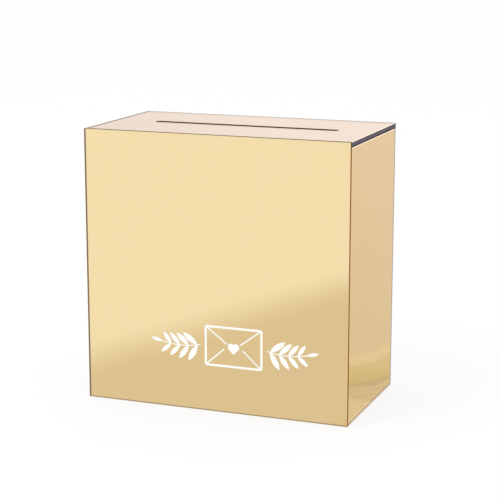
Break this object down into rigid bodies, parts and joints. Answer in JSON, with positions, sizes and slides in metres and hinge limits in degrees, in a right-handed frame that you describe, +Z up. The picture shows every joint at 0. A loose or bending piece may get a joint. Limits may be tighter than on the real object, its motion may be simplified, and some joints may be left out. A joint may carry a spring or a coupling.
{
  "type": "card box",
  "caption": "Upright rectangular box of gold mirror sheets with a lift-off lid that has a long card slot.",
  "frame": {"origin": "on the table at the middle of the footprint", "axes": "+X to the right seen from the front, +Y from front to back, +Z up; the decorated front faces -Y"},
  "size_m": [0.254, 0.1398, 0.254],
  "materials": {
    "gold_mirror_sheet": "polished gold mirror acrylic with a grey painted back",
    "clear_sheet": "clear acrylic with cut edges",
    "white_vinyl": "matte white vinyl film"
  },
  "bodies": {
    "box": {"front_panel": "gold_mirror_sheet", "back_panel": "gold_mirror_sheet", "left_panel": "gold_mirror_sheet", "right_panel": "gold_mirror_sheet", "base_panel": "gold_mirror_sheet", "corner_post_front_left": "clear_sheet", "corner_post_front_right": "clear_sheet", "corner_post_back_left": "clear_sheet", "corner_post_back_right": "clear_sheet", "front_decal": "white_vinyl"},
    "lid": {"lid_panel": "gold_mirror_sheet", "lid_locator_left": "clear_sheet", "lid_locator_right": "clear_sheet"}
  },
  "joints": [
    {"name": "lid_lift", "type": "slide", "parent": "box", "child": "lid", "axis": [0, 0, 1], "range_m": [0, 0.08]}
  ]
}
